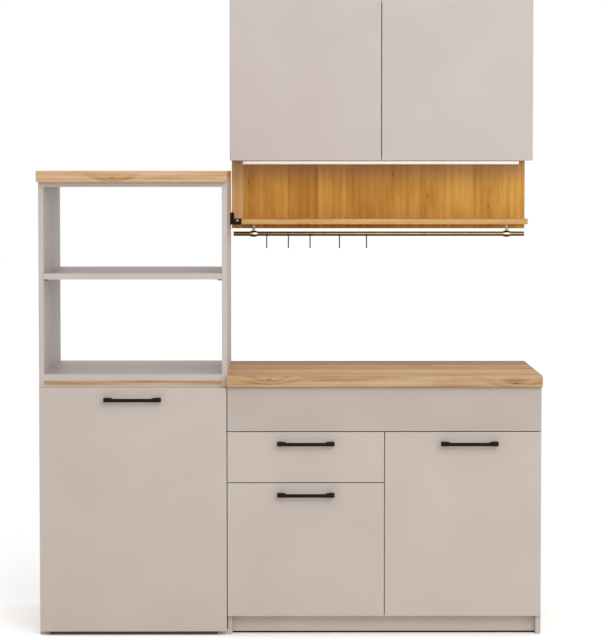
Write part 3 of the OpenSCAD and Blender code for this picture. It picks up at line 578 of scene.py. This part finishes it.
def push(x=0, y=0, z=0, extrude=False):
    """Moves what is picked by millimetres, or extrudes it that far."""
    step = Vector((x, y, z)) * MM
    if extrude:
        bpy.ops.mesh.extrude_region_move(TRANSFORM_OT_translate={"value": step})
    else:
        bpy.ops.transform.translate(value=step)


def cut(at, normal):
    """Cuts the whole mesh along a plane and keeps both halves."""
    bpy.ops.mesh.select_all(action="SELECT")
    bpy.ops.mesh.bisect(plane_co=Vector(at) * MM, plane_no=normal)


print("ready to shape")

# %% Close up and copy
MERGE = 0.005  # vertices nearer than this become one
BEVEL_ANGLE = math.radians(25)  # edges that turn by more than this are rounded


def close_up(piece, name, finish, bevel=0.0, segments=3, smooth=35):
    """Leaves edit mode, merges doubles, turns faces outward, bevels, shades and dresses."""
    bpy.ops.mesh.select_all(action="SELECT")
    bpy.ops.mesh.remove_doubles(threshold=MERGE * MM)
    bpy.ops.mesh.normals_make_consistent(inside=False)
    bpy.ops.object.mode_set(mode="OBJECT")
    if bevel:
        bpy.ops.object.modifier_add(type="BEVEL")
        rounding = piece.modifiers[-1]
        rounding.width, rounding.segments = bevel * MM, segments
        rounding.limit_method, rounding.angle_limit = "ANGLE", BEVEL_ANGLE
        bpy.ops.object.modifier_apply(modifier=rounding.name)
    bpy.ops.object.shade_smooth_by_angle(angle=math.radians(smooth))
    piece.name = name
    dress(piece, finish)
    return piece


def copy_piece(piece, name, at=(0, 0, 0), turn=(0, 0, 0)):
    """A copy with its own mesh, turned by degrees and then set at a place in millimetres."""
    bpy.ops.object.select_all(action="DESELECT")
    piece.select_set(True)
    bpy.context.view_layer.objects.active = piece
    bpy.ops.object.duplicate(linked=False)
    twin = bpy.context.object
    twin.location = Vector(at) * MM
    twin.rotation_euler = [math.radians(angle) for angle in turn]
    bpy.ops.object.transform_apply(location=True, rotation=True, scale=True)
    twin.name = name
    return twin


print("ready to close up and copy")

# %% Gather and hand over
def gather(name, places, pattern):
    """Copies a pattern to many (place, turn) pairs and joins the copies into one piece."""
    twins = [copy_piece(pattern, name, at, turn) for at, turn in places]
    bpy.ops.object.select_all(action="DESELECT")
    for twin in twins:
        twin.select_set(True)
    bpy.context.view_layer.objects.active = twins[0]
    if len(twins) > 1:
        bpy.ops.object.join()
    bpy.context.object.name = name
    return bpy.context.object


def hand_over(piece, body, slot, *replaced):
    """Makes a piece ride with a body and stand for the replaced nodes; its slot is not used."""
    if replaced:
        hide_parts(*replaced)
    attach(piece, body)
    shape = bmesh.new()
    shape.from_mesh(piece.data)
    open_edges = sum(len(edge.link_faces) != 2 for edge in shape.edges)
    shape.free()
    print(f"{piece.name}: {len(piece.data.polygons)} faces, {open_edges} open edges")


def corners(node):
    """A node's low and high corner in millimetres."""
    return [Vector(corner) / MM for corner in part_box(node)]


print("ready to hand over")

# %% [markdown]
# ## The handles
# The four handles are one pattern, die-cast in zinc: a bar with rounded edges whose ends
# step up and run back to the door in two tapering feet. It could be swept along a curve,
# but the raised ends change its section, so a box is cut across, its ends are raised, and
# the feet are extruded to the door and drawn in. A bevel rounds all of it as casting does.

# %% Handle
HANDLE_LENGTH, HANDLE_HEIGHT, HANDLE_THICK, HANDLE_OUT = 182, 11, 8, 32
END_LENGTH, END_RISE = 26, 3
FOOT_LENGTH, FOOT_IN, FOOT_SHARE = 11, 3.5, 0.86

handle = begin(bpy.ops.mesh.primitive_cube_add,
               (0, HANDLE_THICK / 2 - HANDLE_OUT, HANDLE_HEIGHT / 2),
               (HANDLE_LENGTH, HANDLE_THICK, HANDLE_HEIGHT), size=1)
inner_x = HANDLE_LENGTH / 2 - END_LENGTH
for side in (-1, 1):
    cut((side * inner_x, 0, 0), (1, 0, 0))
    cut((side * (inner_x - END_RISE), 0, 0), (1, 0, 0))
pick("verts", lambda at, v: abs(at.x) > inner_x - 0.5 and at.z > HANDLE_HEIGHT - 0.5)
push(z=END_RISE)
pick("faces", lambda at, face: face.normal.y > 0.9 and abs(at.x) > inner_x)
push(y=HANDLE_OUT - HANDLE_THICK, extrude=True)
for side in (-1, 1):
    pick("verts", lambda at, v: side * at.x > 0 and at.y > -0.5)
    bpy.ops.transform.resize(value=(FOOT_LENGTH / END_LENGTH, 1, FOOT_SHARE),
                             center_override=(side * (HANDLE_LENGTH / 2 - FOOT_IN) * MM, 0, 0))
close_up(handle, "handle_pattern", powder_coat, bevel=1.7)
for node, body in (("tall_handle", "tall_door_body"), ("drawer_handle", "drawer_body"),
                   ("left_handle", "left_door_body"), ("right_handle", "right_door_body")):
    low, high = corners(node)
    twin = copy_piece(handle, node + "_cast", ((low.x + high.x) / 2, high.y, low.z))
    hand_over(twin, body, "dark_metal", node)
bpy.data.objects.remove(handle)

# %% [markdown]
# ## Screws
# Pan-head screws hold the handles from behind the doors, and hold the hinge cups and the
# hinge plates. One screw is modelled: a disc with a rounded rim and a cross recess. The
# cross comes from an inset of the top face whose corners, except those near the two axes,
# are drawn towards the middle before it is sunk. The copies stand where the CAD hinges
# have their holes: measured from a door's edge for the cups, and from the inner face of
# the cabinet's side for the plates.

# %% One screw
HEAD_R, HEAD_H, HEAD_RIM = 3.6, 2.0, 1.0
CROSS_IN, CROSS_R, ARM_HALF, CROSS_WAIST, CROSS_DEEP = 0.9, 1.9, 0.55, 0.4, 1.1
NEAR = 0.01  # how close to a plane an end of a picked edge lies

screw = begin(bpy.ops.mesh.primitive_cylinder_add, (0, 0, HEAD_H / 2), vertices=24,
              radius=HEAD_R * MM, depth=HEAD_H * MM)
pick("edges", lambda at, edge: all(abs(end.co.z / MM - HEAD_H) < NEAR for end in edge.verts))
bpy.ops.mesh.bevel(offset=HEAD_RIM * MM, segments=3, affect="EDGES")
pick("faces", lambda at, face: face.normal.z > 0.99)
bpy.ops.mesh.inset(thickness=CROSS_IN * MM, depth=0)
pick("verts", lambda at, v: at.z > HEAD_H - NEAR and at.xy.length < CROSS_R
     and min(abs(at.x), abs(at.y)) > ARM_HALF)
bpy.ops.transform.resize(value=(CROSS_WAIST, CROSS_WAIST, 1), center_override=(0, 0, 0))
pick("faces", lambda at, face: face.normal.z > 0.99 and at.xy.length < 0.3)
push(z=-CROSS_DEEP, extrude=True)
close_up(screw, "screw_pattern", nickel)
print("screw head:", 2 * HEAD_R, "mm wide")

# %% Where the screws go
# 1 is a door that hangs on its left edge, -1 one that hangs on its right edge
HINGE_SIDES = {"tall": 1, "left": 1, "right": -1, "wall_left": 1, "wall_right": -1}
HINGE_INSET, CUP_INSET, WING_HOLE, FLANGE = 90, 22, 24.5, 1.2
BOARD, DOOR_MARGIN, DOOR_OFF = 16, 1.5, 2  # how far a door stays inside and off its box
PLATE_SPOTS = ((2, 38, -16), (2, 38, 16), (14, 38, 0), (11, 6, 0))  # out, back and up
HANDLE_HOLE_IN, HANDLE_HOLE_UP = 8, 5.5
TO_BACK, TO_FRONT = (-90, 0, 0), (90, 0, 0)


def handle_spots(node, back_y):
    """Behind both ends of a handle, on the back of its door or drawer front."""
    low, high = corners(node)
    return [((x, back_y, low.z + HANDLE_HOLE_UP), TO_BACK)
            for x in (low.x + HANDLE_HOLE_IN, high.x - HANDLE_HOLE_IN)]


plate_screws = []
for name, side in HINGE_SIDES.items():
    low, high = corners(name + "_door")
    edge_x = low.x if side > 0 else high.x
    heights = (low.z + HINGE_INSET, high.z - HINGE_INSET)
    spots = [((edge_x + side * CUP_INSET, high.y + FLANGE, z + step), TO_BACK)
             for z in heights for step in (-WING_HOLE, WING_HOLE)]
    if name in ("tall", "left", "right"):
        spots += handle_spots(name + "_handle", high.y)
    hand_over(gather(name + "_door_screws", spots, screw), name + "_door_body", "steel")
    side_x, box_y = edge_x + side * (BOARD - DOOR_MARGIN), high.y + DOOR_OFF
    plate_screws += [((side_x + side * out, box_y + back, z + step), (0, 90 * side, 0))
                     for z in heights for out, back, step in PLATE_SPOTS]
hand_over(gather("hinge_plate_screws", plate_screws, screw), "root", "steel")
spots = handle_spots("drawer_handle", corners("drawer_front")[1].y)
hand_over(gather("drawer_handle_screws", spots, screw), "drawer_body", "steel")
print("screws:", len(plate_screws), "on the hinge plates")

# %% [markdown]
# ## The hook rail
# The rail is a polished tube with a cap pressed into each end. A cylinder gives the tube;
# its end edges are rounded and the end faces inset and sunk a little, as a cap sits. The
# holders are turned parts: a barrel-shaped ring is spun from its section round the rail's
# axis, and the stem under the ledge is a cylinder whose top widens into a foot.

# %% Rail
RAIL_RIM, CAP_IN, CAP_SUNK = 1.3, 1.0, 0.5

low, high = corners("hook_rail")
rail_y, rail_z = (low.y + high.y) / 2, (low.z + high.z) / 2
rail_r = (high.z - low.z) / 2
rail = begin(bpy.ops.mesh.primitive_cylinder_add, ((low.x + high.x) / 2, rail_y, rail_z),
             vertices=48, radius=rail_r * MM, depth=(high.x - low.x) * MM,
             rotation=(0, math.radians(90), 0))
pick("edges", lambda at, edge: all(
    min(abs(end.co.x / MM - low.x), abs(end.co.x / MM - high.x)) < NEAR for end in edge.verts))
bpy.ops.mesh.bevel(offset=RAIL_RIM * MM, segments=3, affect="EDGES")
pick("faces", lambda at, face: abs(face.normal.x) > 0.99)
bpy.ops.mesh.inset(thickness=CAP_IN * MM, depth=-CAP_SUNK * MM, use_individual=True)
close_up(rail, "hook_rail_tube", rail_bronze)
hand_over(rail, "root", "bronze", "hook_rail")

# %% Rail holders
RING_W, RING_T, RING_LIP, RING_FLAT, RING_ROUND, RING_PLAY = 24, 3, 1, 4, 3, 0.05
STEM_R, FOOT_R, FOOT_T = 5, 7.5, 2
ledge_low = corners("ledge_shelf")[0].z
holder_low, holder_high = corners("rail_holders")
bore_r = rail_r + RING_PLAY
ring = begin(bpy.ops.mesh.primitive_plane_add, (0, rail_y, rail_z + bore_r + RING_T / 2),
             (RING_W, RING_T, 1), size=1, rotation=(math.radians(90), 0, 0))
for x in (-RING_FLAT, RING_FLAT):
    cut((x, 0, 0), (1, 0, 0))
pick("verts", lambda at, v: abs(at.x) > RING_W / 2 - 0.1 and at.z > rail_z + bore_r + 0.1)
push(z=RING_LIP - RING_T)
pick("verts", lambda at, v: abs(abs(at.x) - RING_FLAT) < 0.1 and at.z > rail_z + bore_r + 0.1)
bpy.ops.mesh.bevel(offset=RING_ROUND * MM, segments=4, affect="VERTICES")
bpy.ops.mesh.select_all(action="SELECT")
bpy.ops.mesh.dissolve_faces()
bpy.ops.mesh.delete(type="ONLY_FACE")
bpy.ops.mesh.select_all(action="SELECT")
bpy.ops.mesh.spin(steps=48, angle=math.radians(360), center=(0, rail_y * MM, rail_z * MM),
                  axis=(1, 0, 0))
close_up(ring, "holder_ring", holder_bronze)
stem_low = rail_z + bore_r + RING_T - RING_LIP
stem = begin(bpy.ops.mesh.primitive_cylinder_add,
             (0, rail_y, (stem_low + ledge_low - FOOT_T) / 2), vertices=32,
             radius=STEM_R * MM, depth=(ledge_low - FOOT_T - stem_low) * MM)
pick("faces", lambda at, face: face.normal.z > 0.9)
push(extrude=True)
bpy.ops.transform.resize(value=(FOOT_R / STEM_R, FOOT_R / STEM_R, 1))
push(z=FOOT_T, extrude=True)
close_up(stem, "holder_stem", holder_bronze, bevel=0.6)
ring_x = (holder_low.x + RING_W / 2, holder_high.x - RING_W / 2)
holders = gather("turned_rail_holders", [((x, 0, 0), (0, 0, 0)) for x in ring_x], ring)
gather("holder_stems", [((x, 0, 0), (0, 0, 0)) for x in ring_x], stem)
holders.select_set(True)  # the stems are still selected, and join the rings
bpy.context.view_layer.objects.active = holders
bpy.ops.object.join()
hand_over(holders, "root", "bronze", "rail_holders")
for pattern in (ring, stem):
    bpy.data.objects.remove(pattern)

# %% [markdown]
# ## The hooks
# A hook is one bent wire: a half turn over the rail, a straight run and a half turn below.
# A curve could be given a thickness, but bending a disc is nearer to how wire is formed: a
# small disc is extruded along each straight run and spun round each bend. A bevel rounds
# both cut ends.

# %% One hook and its five copies
WIRE_R, HOOK_PLAY, HOOK_HEIGHT, BEND_R, TAIL, TIP = 2, 0.3, 70, 7, 4, 6
WIRE_SIDES, WIRE_ROUND = 16, 1.2
crook = rail_r + HOOK_PLAY + WIRE_R
bend = BEND_R + WIRE_R
bend_z = rail_z + crook + 2 * WIRE_R - HOOK_HEIGHT + bend
hook = begin(bpy.ops.mesh.primitive_circle_add, (0, rail_y + crook, rail_z - TAIL),
             vertices=WIRE_SIDES, radius=WIRE_R * MM, fill_type="NGON")
bpy.ops.mesh.select_all(action="SELECT")
push(z=TAIL, extrude=True)
bpy.ops.mesh.spin(steps=16, angle=math.radians(180), center=(0, rail_y * MM, rail_z * MM),
                  axis=(1, 0, 0))
push(z=bend_z - rail_z, extrude=True)
bpy.ops.mesh.spin(steps=14, angle=math.radians(-180),
                  center=(0, (rail_y - crook - bend) * MM, bend_z * MM), axis=(1, 0, 0))
push(z=TIP, extrude=True)
bpy.ops.mesh.select_all(action="SELECT")
bpy.ops.mesh.remove_doubles(threshold=MERGE * MM)
pick("faces", lambda at, face: len(face.verts) == WIRE_SIDES)
print("hook ends found:", len([f for f in bmesh.from_edit_mesh(hook.data).faces if f.select]))
bpy.ops.mesh.region_to_loop()
bpy.ops.mesh.bevel(offset=WIRE_ROUND * MM, segments=3, affect="EDGES")
close_up(hook, "hook_pattern", dark_bronze)
for number in range(1, 6):
    low, high = corners(f"hook_{number}")
    twin = copy_piece(hook, f"hook_{number}_bent_wire", ((low.x + high.x) / 2, 0, 0))
    hand_over(twin, f"hook_{number}_body", "bronze", f"hook_{number}")
bpy.data.objects.remove(hook)

# %% [markdown]
# ## Small fittings
# Soft bumpers on the door backs keep the doors from slapping, and a bright screw closes
# the dark joining bracket. A bumper is a low dome: a disc with a widely rounded rim.

# %% Bumpers and the bracket screw
BUMPER_R, BUMPER_H, BUMPER_RIM = 4, 1.6, 1.3
BUMPER_IN, BUMPER_UP = 6.5, 12
BRACKET_SCREW_IN, BRACKET_SCREW_SUNK, BRACKET_SCREW_UP = 24, 0.5, 14

bumper = begin(bpy.ops.mesh.primitive_cylinder_add, (0, 0, BUMPER_H / 2), vertices=20,
               radius=BUMPER_R * MM, depth=BUMPER_H * MM)
pick("edges", lambda at, edge: all(abs(end.co.z / MM - BUMPER_H) < NEAR for end in edge.verts))
bpy.ops.mesh.bevel(offset=BUMPER_RIM * MM, segments=4, affect="EDGES")
close_up(bumper, "bumper_pattern", white_plastic)
for name, side in HINGE_SIDES.items():
    low, high = corners(name + "_door")
    x = high.x - BUMPER_IN if side > 0 else low.x + BUMPER_IN
    spots = [((x, high.y, z), TO_BACK) for z in (low.z + BUMPER_UP, high.z - BUMPER_UP)]
    bumpers = gather(name + "_door_bumpers", spots, bumper)
    hand_over(bumpers, name + "_door_body", "white_plastic")
bpy.data.objects.remove(bumper)

low = corners("joining_bracket")[0]
spot = (low.x + BRACKET_SCREW_IN, low.y + BRACKET_SCREW_SUNK, low.z + BRACKET_SCREW_UP)
hand_over(copy_piece(screw, "bracket_screw", spot, TO_FRONT), "root", "steel")
bpy.data.objects.remove(screw)

# %% [markdown]
# ## Plates under the open shelf
# The photo shows a small dark mark under each front end of the open shelf. It is taken for
# a plate that holds the shelf down to the side boards: a thin box with its inner corners
# rounded and a sunk seat for a screw head below. The back ends carry the same plate.

# %% Shelf plates
PLATE_LONG, PLATE_DEEP, PLATE_THICK, PLATE_PLAY = 14, 22, 3, 0.05
PLATE_ROUND, SEAT_IN, SEAT_DEEP, SEAT_SHARE = 5, 3.5, 1.2, 0.5
FRONT_CLEAR, BACK_CLEAR = 1, 20

plate = begin(bpy.ops.mesh.primitive_cube_add, (PLATE_LONG / 2, 0, -PLATE_THICK / 2),
              (PLATE_LONG, PLATE_DEEP, PLATE_THICK), size=1)
pick("edges", lambda at, edge: at.x > PLATE_LONG - 0.1 and abs(at.z + PLATE_THICK / 2) < 0.1)
bpy.ops.mesh.bevel(offset=PLATE_ROUND * MM, segments=5, affect="EDGES")
pick("faces", lambda at, face: face.normal.z < -0.9)
bpy.ops.mesh.inset(thickness=SEAT_IN * MM, depth=0)
push(z=SEAT_DEEP, extrude=True)
bpy.ops.transform.resize(value=(SEAT_SHARE, SEAT_SHARE, 1))
close_up(plate, "plate_pattern", powder_coat, bevel=0.3)
shelf_low, shelf_high = corners("tall_open_shelf")
plate_z = shelf_low.z - PLATE_PLAY
left_x, right_x = corners("tall_left_side")[1].x, corners("tall_right_side")[0].x
plate_y = (shelf_low.y + FRONT_CLEAR + PLATE_DEEP / 2, shelf_high.y - BACK_CLEAR - PLATE_DEEP / 2)
spots = [((left_x + PLATE_PLAY, y, plate_z), (0, 0, 0)) for y in plate_y]
spots += [((right_x - PLATE_PLAY, y, plate_z), (0, 0, 180)) for y in plate_y]
hand_over(gather("open_shelf_plates", spots, plate), "root", "dark_metal")
bpy.data.objects.remove(plate)

# %% [markdown]
# ## Dark strips of painted shade
# A much darker line runs between the two lower cabinets than between their doors, and a
# dark line along the plinth's foot; both are painted shade. A narrow dark strip stands in
# the joint between the cabinet sides, and a low dark strip runs along the plinth, dark
# sheets put where there is only shade. Both are thin boxes with the handles' dark coat,
# at full length, whose front is drawn in or stepped out and whose edges are rounded.
# Under the tall cabinet a grey strip between the foot blocks is painted shade in the same
# way.

# %% Joint strip
STRIP_THICK, STRIP_PLAY, STRIP_RISE, STRIP_NOSE = 1.2, 0.05, 5, 0.7

door_low, door_high = corners("tall_door")
gap_left, gap_right = door_high.x, corners("left_door")[0].x
joint_x = (gap_left + gap_right) / 2
strip_low, strip_high = door_low.z + STRIP_RISE, door_high.z
# a dark strip in the joint between the cabinet sides: painted shade
strip = begin(bpy.ops.mesh.primitive_cube_add,
              (joint_x, corners("base_left_side")[0].y - STRIP_THICK / 2,
               (strip_low + strip_high) / 2),
              (gap_right - gap_left - 2 * STRIP_PLAY, STRIP_THICK, strip_high - strip_low),
              size=1)
pick("faces", lambda at, face: face.normal.y < -0.9)
bpy.ops.transform.resize(value=(STRIP_NOSE, 1, 1), center_override=(joint_x * MM, 0, 0))
close_up(strip, "cabinet_joint_shadow_strip", powder_coat, bevel=0.25)
hand_over(strip, "root", "dark_metal")

# %% Plinth and foot shadow strips
SHADOW_STRIP_THICK, PLINTH_SHADOW_HIGH, PLINTH_SHADOW_STEP_HIGH, PLINTH_SHADOW_STEP_OUT = 1.2, 5, 2, 1.0
FOOT_BLOCK_W, SHADOW_CLEAR, FOOT_SHADOW_STEP_HIGH, FOOT_SHADOW_STEP_OUT = 15, 0.5, 3, 0.6


def stepped_strip(x, y, z, step_z, step_out):
    """A thin box in front of y, between two x and two z, whose part below step_z steps out."""
    made = begin(bpy.ops.mesh.primitive_cube_add,
                 ((x[0] + x[1]) / 2, y - SHADOW_STRIP_THICK / 2, (z[0] + z[1]) / 2),
                 (x[1] - x[0], SHADOW_STRIP_THICK, z[1] - z[0]), size=1)
    cut((0, 0, step_z), (0, 0, 1))
    pick("faces", lambda at, face: face.normal.y < -0.9 and at.z < step_z)
    push(y=-step_out, extrude=True)
    return made


# a dark strip along the plinth's foot: painted shade
low, high = corners("base_plinth")
plinth_shadow = stepped_strip((low.x, high.x), low.y, (low.z, low.z + PLINTH_SHADOW_HIGH),
                     low.z + PLINTH_SHADOW_STEP_HIGH, PLINTH_SHADOW_STEP_OUT)
close_up(plinth_shadow, "plinth_shadow_strip", powder_coat, bevel=0.3)
hand_over(plinth_shadow, "root", "dark_metal")

# a grey strip between the foot blocks: painted shade
low, high = corners("tall_feet")
blocks = FOOT_BLOCK_W + SHADOW_CLEAR
foot_shadow = stepped_strip((low.x + blocks, high.x - blocks), low.y,
                    (low.z + SHADOW_CLEAR / 2, high.z - SHADOW_CLEAR / 2),
                    low.z + FOOT_SHADOW_STEP_HIGH, FOOT_SHADOW_STEP_OUT)
close_up(foot_shadow, "tall_foot_shadow_strip", shadow_strip_grey, bevel=0.25)
hand_over(foot_shadow, "root", "foot_plastic")

# %% [markdown]
# ## The studio
# The photograph has a white ground without a horizon and soft light from the front. A
# large lamp beside the camera gives the fronts their even tone, a weaker one above keeps
# the tops a little darker, and the world fills the rest. To the camera and in reflections
# the world is plain white. Only the camera sees the floor as a brighter paper, so it reads
# white but still takes the set's soft shadow and throws no extra light on the boards.

# %% Paper floor
FLOOR_GAIN = 1.38


def studio_floor():
    """Paper-white ground; the camera sees it brighter, so it reads white but keeps shadows."""
    finish, shader = new_finish("studio_floor", Roughness=0.9)
    tree = finish.node_tree
    shader.inputs["Base Color"].default_value = srgb("#f0f0f0")
    paper = add_node(finish, "BsdfDiffuse", {"Color": (FLOOR_GAIN, FLOOR_GAIN, FLOOR_GAIN, 1.0)})
    seen = add_node(finish, "LightPath").outputs["Is Camera Ray"]
    mixed = add_node(finish, "MixShader", {0: seen, 1: shader.outputs[0], 2: paper.outputs[0]})
    tree.links.new(mixed.outputs[0], tree.nodes["Material Output"].inputs[0])
    bpy.ops.mesh.primitive_plane_add(size=60, location=(0, 0, 0))
    floor = bpy.context.object
    floor.name = "floor"
    dress(floor, finish)


studio_floor()
print("floor:", bpy.context.object.name)

# %% World and lamps
WORLD_FILL = 0.74


def add_lamp(name, power, size, at, aim):
    """A rectangular lamp in metres and watts that looks at a point."""
    light = bpy.data.lights.new(name, "AREA")
    light.shape, light.energy = "RECTANGLE", power
    light.size, light.size_y = size
    lamp = bpy.data.objects.new(name, light)
    lamp.location = at
    lamp.rotation_euler = (Vector(aim) - Vector(at)).to_track_quat("-Z", "Y").to_euler()
    bpy.context.scene.collection.objects.link(lamp)


world = bpy.data.worlds.new("studio_world")
world.use_nodes = True
sky = world.node_tree.nodes["Background"]
sky.inputs["Color"].default_value = (1.0, 1.0, 1.0, 1.0)
paths = add_node(world, "LightPath").outputs
shown = math_node(world, "MAXIMUM", paths["Is Camera Ray"], paths["Is Glossy Ray"])
shown = math_node(world, "MAXIMUM", shown, paths["Is Transmission Ray"])
connect(world, sky, Strength=remap(world, shown, target=(WORLD_FILL, 1.0)))
bpy.context.scene.world = world
add_lamp("front_softbox", 64, (3.0, 2.0), (1.3, -4.3, 2.7), (0.0, 0, 1.2))
add_lamp("top_softbox", 3, (3.0, 2.0), (0.5, -1.0, 4.4), (0, 0, 0.9))
bpy.context.scene.view_settings.view_transform = "Standard"
